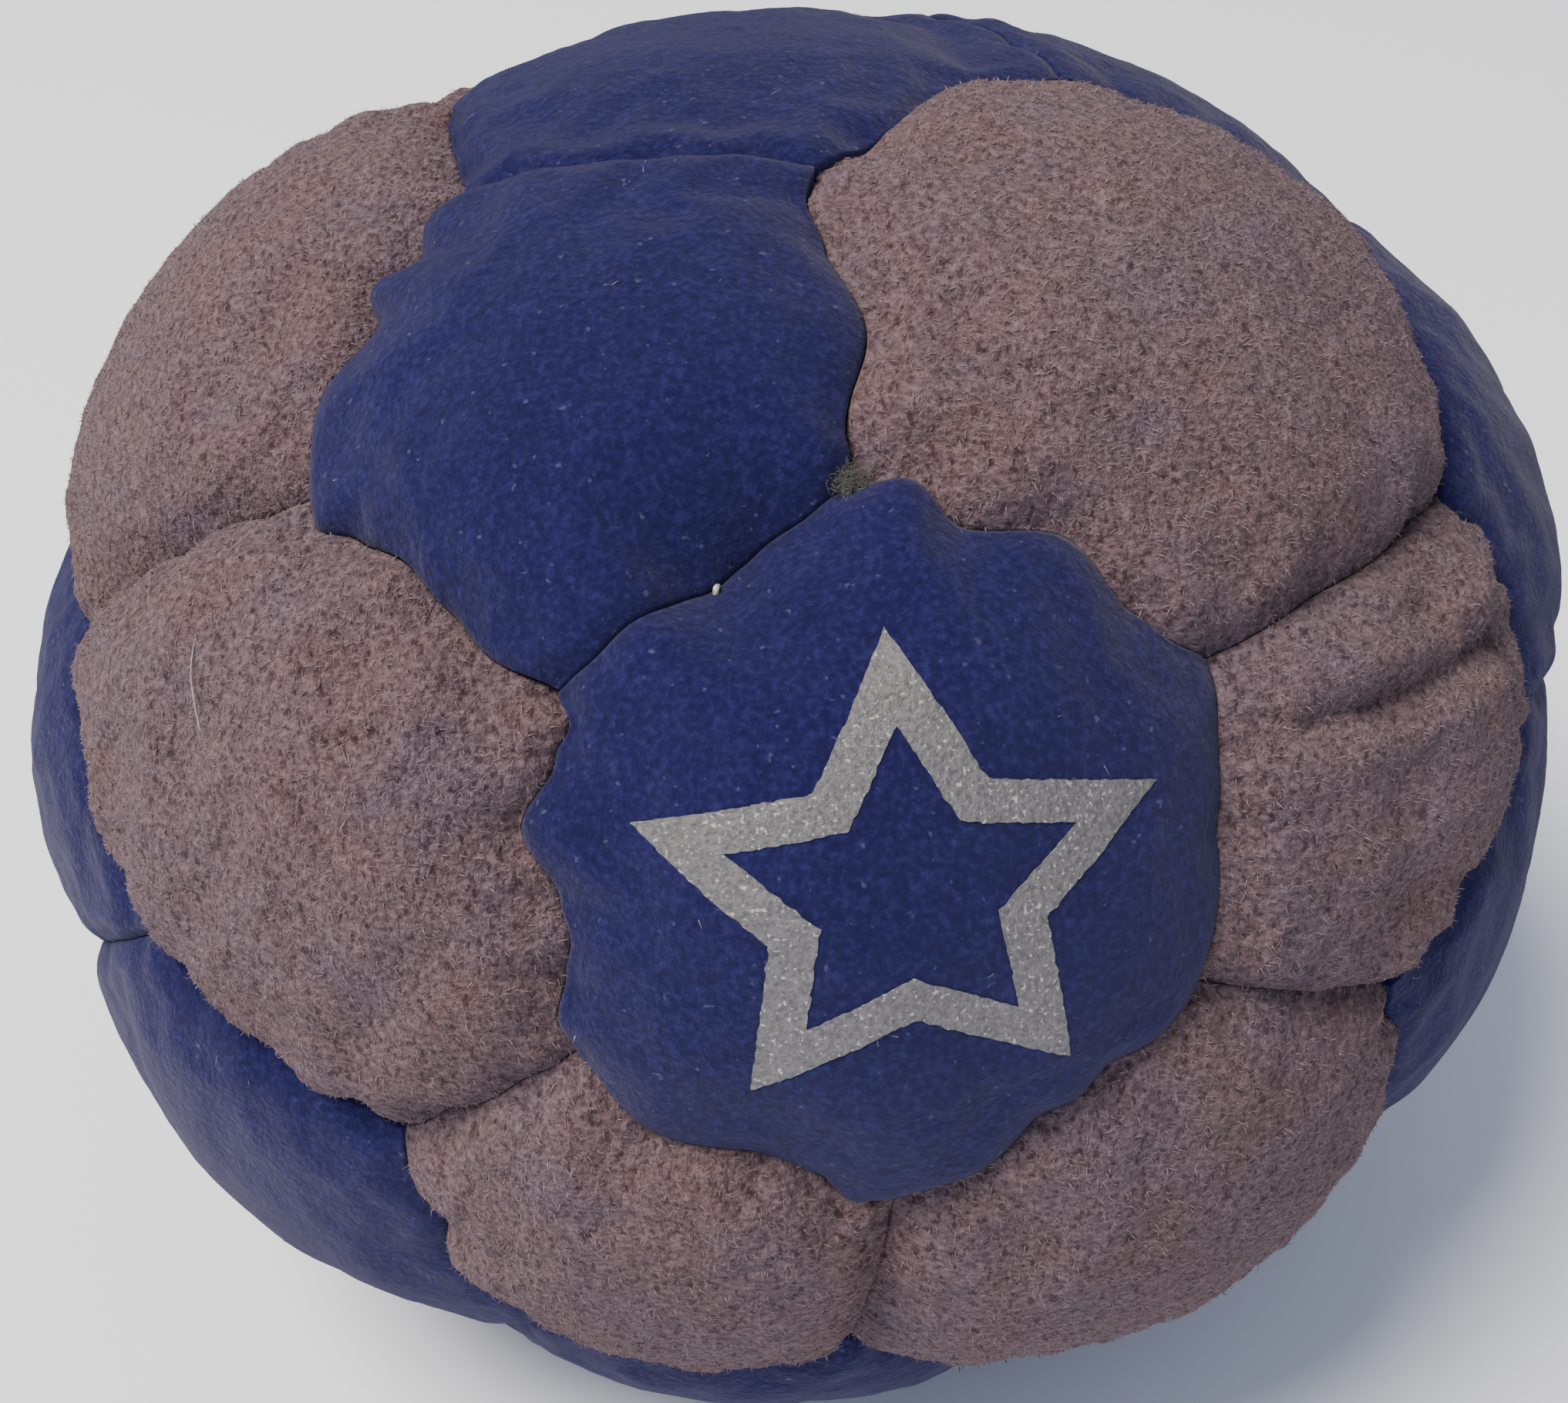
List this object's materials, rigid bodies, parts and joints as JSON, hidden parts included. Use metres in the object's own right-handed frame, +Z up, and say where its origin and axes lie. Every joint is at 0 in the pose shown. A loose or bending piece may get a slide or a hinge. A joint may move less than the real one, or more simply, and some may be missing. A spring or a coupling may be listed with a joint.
{
  "type": "juggling ball",
  "caption": "Soft round juggling ball sewn from blue and grey suede pentagons and hexagons, filled with loose grain, with a silver star printed on one panel.",
  "frame": {"origin": "on the table, at the middle of the flat that the ball rests on, under the ball's centre", "axes": "+Z up, out of the table; -Y towards the viewer of the printed star; +X to that viewer's right"},
  "size_m": [0.0554, 0.0557, 0.0449],
  "materials": {
    "blue_suede": "brushed synthetic suede, navy blue, short matt nap with pale lint",
    "grey_suede": "fuzzy synthetic suede, mauve grey, mottled long nap",
    "thread": "twisted sewing thread, dark, sunk in the seams",
    "pale_thread": "twisted sewing thread, pale",
    "silver_ink": "worn silver screen ink over the nap",
    "grain": "loose small plastic grain, taken as one packed body"
  },
  "bodies": {
    "root": {"blue_hexagon_01": "blue_suede", "blue_hexagon_02": "blue_suede", "blue_hexagon_03": "blue_suede", "blue_hexagon_04": "blue_suede", "blue_hexagon_05": "blue_suede", "blue_hexagon_06": "blue_suede", "blue_hexagon_07": "blue_suede", "blue_hexagon_08": "blue_suede", "blue_hexagon_09": "blue_suede", "blue_hexagon_10": "blue_suede", "blue_pentagon_01": "blue_suede", "blue_pentagon_02": "blue_suede", "blue_pentagon_03": "blue_suede", "blue_pentagon_04": "blue_suede", "blue_pentagon_05": "blue_suede", "blue_pentagon_06": "blue_suede", "closing_stitch": "pale_thread", "filling": "grain", "grey_hexagon_01": "grey_suede", "grey_hexagon_02": "grey_suede", "grey_hexagon_03": "grey_suede", "grey_hexagon_04": "grey_suede", "grey_hexagon_05": "grey_suede", "grey_hexagon_06": "grey_suede", "grey_hexagon_07": "grey_suede", "grey_hexagon_08": "grey_suede", "grey_hexagon_09": "grey_suede", "grey_hexagon_10": "grey_suede", "grey_pentagon_01": "grey_suede", "grey_pentagon_02": "grey_suede", "grey_pentagon_03": "grey_suede", "grey_pentagon_04": "grey_suede", "grey_pentagon_05": "grey_suede", "grey_pentagon_06": "grey_suede", "printed_star": "silver_ink", "seam_thread": "thread"}
  },
  "joints": []
}
